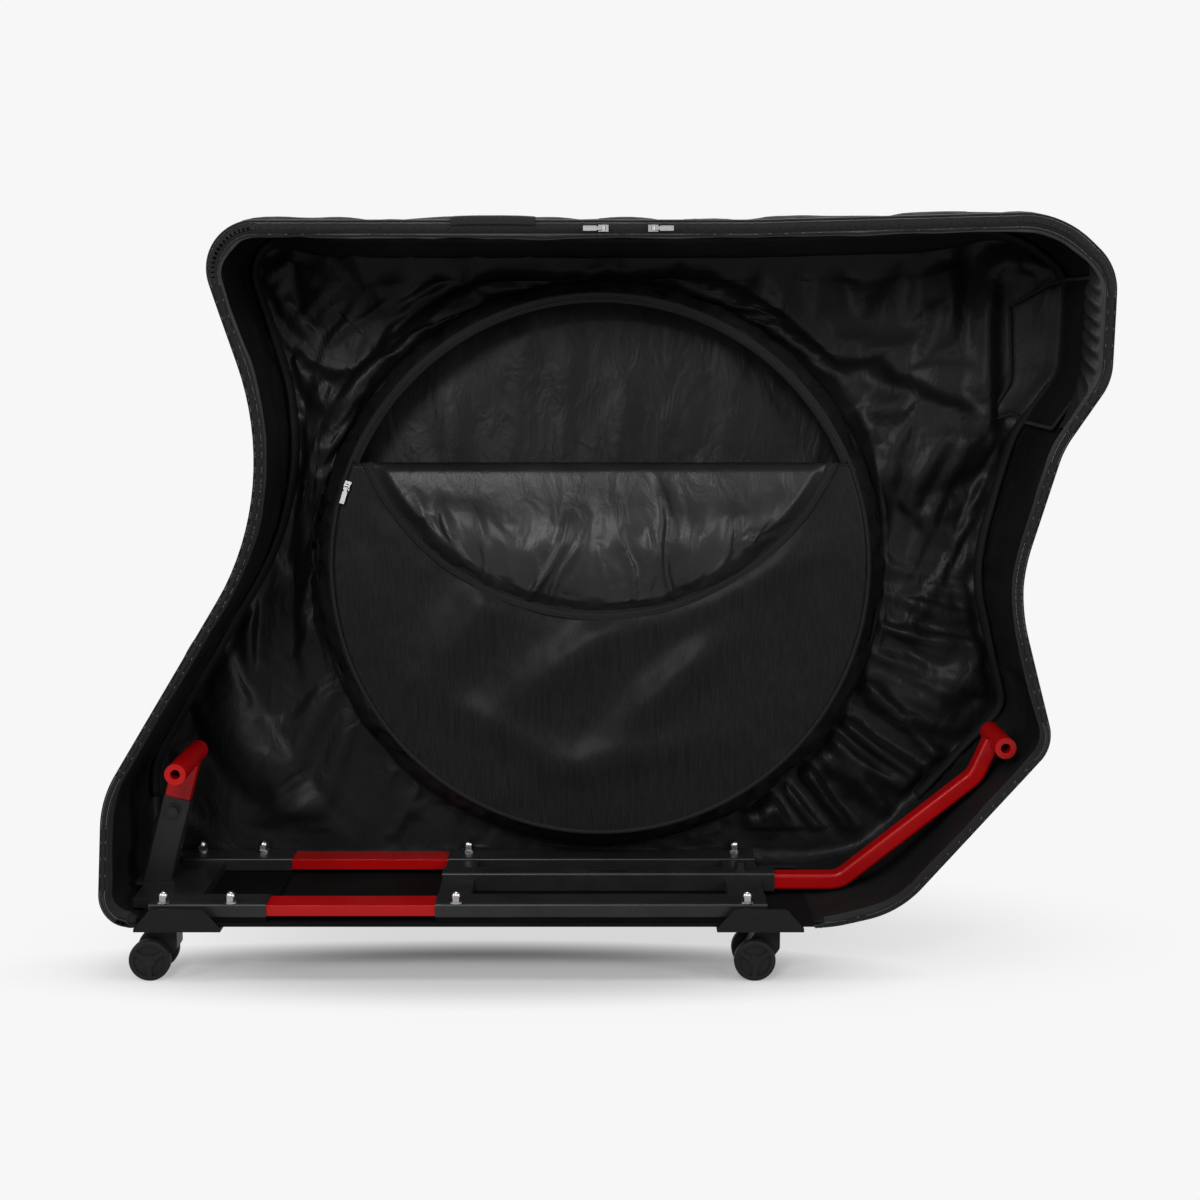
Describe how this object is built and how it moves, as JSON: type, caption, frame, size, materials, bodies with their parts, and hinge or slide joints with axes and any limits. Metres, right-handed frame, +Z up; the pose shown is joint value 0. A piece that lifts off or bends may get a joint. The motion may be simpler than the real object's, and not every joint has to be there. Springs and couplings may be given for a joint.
{
  "type": "bike travel case",
  "caption": "Soft padded travel case for a bicycle, open on one side, with a telescopic inner frame, axle supports, a round wheel pocket and swivel casters.",
  "frame": {"origin": "centre of the case on the floor", "axes": "+X to the front of the case along its length, -Y to the open side, +Z up"},
  "size_m": [1.217, 0.3796, 0.9137],
  "materials": {
    "base_board": "matte",
    "black_bolt": "satin",
    "black_frame": "satin",
    "bolt_chrome": "polished",
    "bracket": "matte",
    "caster_body": "satin",
    "caster_steel": "satin",
    "caster_wheel": "satin",
    "lining_fabric": "satin lining",
    "red_frame": "gloss",
    "rim_fabric": "matte woven cloth",
    "shell_fabric": "satin woven cloth",
    "zip_chain": "matte",
    "zip_metal": "satin"
  },
  "bodies": {
    "case": {"arm_clamp_bolt": "black_bolt", "bottom_panel": "shell_fabric", "centre_beam": "black_frame", "far_front_bracket": "bracket", "far_front_rail": "black_frame", "far_side_panel": "shell_fabric", "front_board": "base_board", "front_caster_pins": "caster_steel", "front_cross_links": "black_frame", "front_end_panel": "shell_fabric", "front_guard_pad": "lining_fabric", "front_rail_bolts": "bolt_chrome", "mid_cross_links": "black_frame", "near_front_bracket": "bracket", "near_front_rail": "black_frame", "pocket_front": "lining_fabric", "pocket_wall": "lining_fabric", "rear_end_panel": "shell_fabric", "rim_band": "rim_fabric", "top_handle": "shell_fabric", "top_panel": "shell_fabric", "zip_chain": "zip_chain"},
    "rear_carriage": {"near_rear_rail": "black_frame", "far_rear_rail": "black_frame", "near_slide_tube": "red_frame", "far_slide_tube": "red_frame", "rear_board": "base_board", "rear_cross": "black_frame", "rear_post": "black_frame", "post_clamp_bolt": "black_bolt", "rear_rail_bolts": "bolt_chrome", "near_rear_bracket": "bracket", "far_rear_bracket": "bracket", "rear_caster_pins": "caster_steel"},
    "fork_arm": {"fork_arm": "red_frame"},
    "rear_head": {"rear_head": "red_frame"},
    "near_rear_caster": {"near_rear_caster_body": "caster_body", "near_rear_caster_axle": "caster_steel"},
    "near_rear_outer_wheel": {"near_rear_outer_wheel": "caster_wheel"},
    "near_rear_inner_wheel": {"near_rear_inner_wheel": "caster_wheel"},
    "far_rear_caster": {"far_rear_caster_body": "caster_body", "far_rear_caster_axle": "caster_steel"},
    "far_rear_outer_wheel": {"far_rear_outer_wheel": "caster_wheel"},
    "far_rear_inner_wheel": {"far_rear_inner_wheel": "caster_wheel"},
    "near_front_caster": {"near_front_caster_body": "caster_body", "near_front_caster_axle": "caster_steel"},
    "near_front_outer_wheel": {"near_front_outer_wheel": "caster_wheel"},
    "near_front_inner_wheel": {"near_front_inner_wheel": "caster_wheel"},
    "far_front_caster": {"far_front_caster_body": "caster_body", "far_front_caster_axle": "caster_steel"},
    "far_front_outer_wheel": {"far_front_outer_wheel": "caster_wheel"},
    "far_front_inner_wheel": {"far_front_inner_wheel": "caster_wheel"},
    "rear_zip_slider": {"rear_zip_slider": "zip_metal"},
    "rear_zip_pull": {"rear_zip_pull": "zip_metal"},
    "front_zip_slider": {"front_zip_slider": "zip_metal"},
    "front_zip_pull": {"front_zip_pull": "zip_metal"},
    "pocket_flap": {"pocket_flap": "lining_fabric"},
    "pocket_zip_slider": {"pocket_zip_slider": "zip_metal"},
    "pocket_zip_pull": {"pocket_zip_pull": "zip_metal"}
  },
  "joints": [
    {"name": "rail_extend", "type": "slide", "parent": "case", "child": "rear_carriage", "axis": [1, 0, 0], "range_m": [0, 0.08]},
    {"name": "arm_slide", "type": "slide", "parent": "case", "child": "fork_arm", "axis": [1, 0, 0], "range_m": [-0.06, 0.003]},
    {"name": "head_slide", "type": "slide", "parent": "rear_carriage", "child": "rear_head", "axis": [0.2545, 0, 0.9671], "range_m": [-0.015, 0.02]},
    {"name": "near_rear_swivel", "type": "hinge", "parent": "rear_carriage", "child": "near_rear_caster", "pos_m": [-0.52979, -0.15425, 0.062], "axis": [0, 0, 1], "continuous": true},
    {"name": "near_rear_outer_wheel_spin", "type": "hinge", "parent": "near_rear_caster", "child": "near_rear_outer_wheel", "pos_m": [-0.54779, -0.17925, 0.025], "axis": [0, 1, 0], "continuous": true},
    {"name": "near_rear_inner_wheel_spin", "type": "hinge", "parent": "near_rear_caster", "child": "near_rear_inner_wheel", "pos_m": [-0.54779, -0.12925, 0.025], "axis": [0, 1, 0], "continuous": true},
    {"name": "far_rear_swivel", "type": "hinge", "parent": "rear_carriage", "child": "far_rear_caster", "pos_m": [-0.52979, 0.05175, 0.062], "axis": [0, 0, 1], "continuous": true},
    {"name": "far_rear_outer_wheel_spin", "type": "hinge", "parent": "far_rear_caster", "child": "far_rear_outer_wheel", "pos_m": [-0.54779, 0.07675, 0.025], "axis": [0, 1, 0], "continuous": true},
    {"name": "far_rear_inner_wheel_spin", "type": "hinge", "parent": "far_rear_caster", "child": "far_rear_inner_wheel", "pos_m": [-0.54779, 0.02675, 0.025], "axis": [0, 1, 0], "continuous": true},
    {"name": "near_front_swivel", "type": "hinge", "parent": "case", "child": "near_front_caster", "pos_m": [0.19721, -0.15425, 0.062], "axis": [0, 0, 1], "continuous": true},
    {"name": "near_front_outer_wheel_spin", "type": "hinge", "parent": "near_front_caster", "child": "near_front_outer_wheel", "pos_m": [0.17921, -0.17925, 0.025], "axis": [0, 1, 0], "continuous": true},
    {"name": "near_front_inner_wheel_spin", "type": "hinge", "parent": "near_front_caster", "child": "near_front_inner_wheel", "pos_m": [0.17921, -0.12925, 0.025], "axis": [0, 1, 0], "continuous": true},
    {"name": "far_front_swivel", "type": "hinge", "parent": "case", "child": "far_front_caster", "pos_m": [0.19721, 0.05175, 0.062], "axis": [0, 0, 1], "continuous": true},
    {"name": "far_front_outer_wheel_spin", "type": "hinge", "parent": "far_front_caster", "child": "far_front_outer_wheel", "pos_m": [0.17921, 0.07675, 0.025], "axis": [0, 1, 0], "continuous": true},
    {"name": "far_front_inner_wheel_spin", "type": "hinge", "parent": "far_front_caster", "child": "far_front_inner_wheel", "pos_m": [0.17921, 0.02675, 0.025], "axis": [0, 1, 0], "continuous": true},
    {"name": "rear_zip_slide", "type": "slide", "parent": "case", "child": "rear_zip_slider", "axis": [1, 0, 0], "range_m": [-0.38, 0]},
    {"name": "rear_zip_pull_swing", "type": "hinge", "parent": "rear_zip_slider", "child": "rear_zip_pull", "pos_m": [-0.00279, -0.10465, 0.89401], "axis": [0, 0, 1], "range_deg": [0, 175]},
    {"name": "front_zip_slide", "type": "slide", "parent": "case", "child": "front_zip_slider", "axis": [1, 0, 0], "range_m": [0, 0.08]},
    {"name": "front_zip_pull_swing", "type": "hinge", "parent": "front_zip_slider", "child": "front_zip_pull", "pos_m": [0.05621, -0.10465, 0.89401], "axis": [0, 0, -1], "range_deg": [0, 175]},
    {"name": "pocket_flap_fold", "type": "hinge", "parent": "case", "child": "pocket_flap", "pos_m": [-0.00679, 0.07495, 0.60518], "axis": [-1, 0, 0], "range_deg": [0, 179]},
    {"name": "pocket_zip_run", "type": "hinge", "parent": "case", "child": "pocket_zip_slider", "pos_m": [-0.00679, 0.1307, 0.4661], "axis": [0, -0.9903, 0.1386], "range_deg": [-140, 0]},
    {"name": "pocket_zip_pull_swing", "type": "hinge", "parent": "pocket_zip_slider", "child": "pocket_zip_pull", "pos_m": [-0.33193, 0.06446, 0.57575], "axis": [-0.9563, 0.0405, 0.2895], "range_deg": [0, 175]}
  ]
}
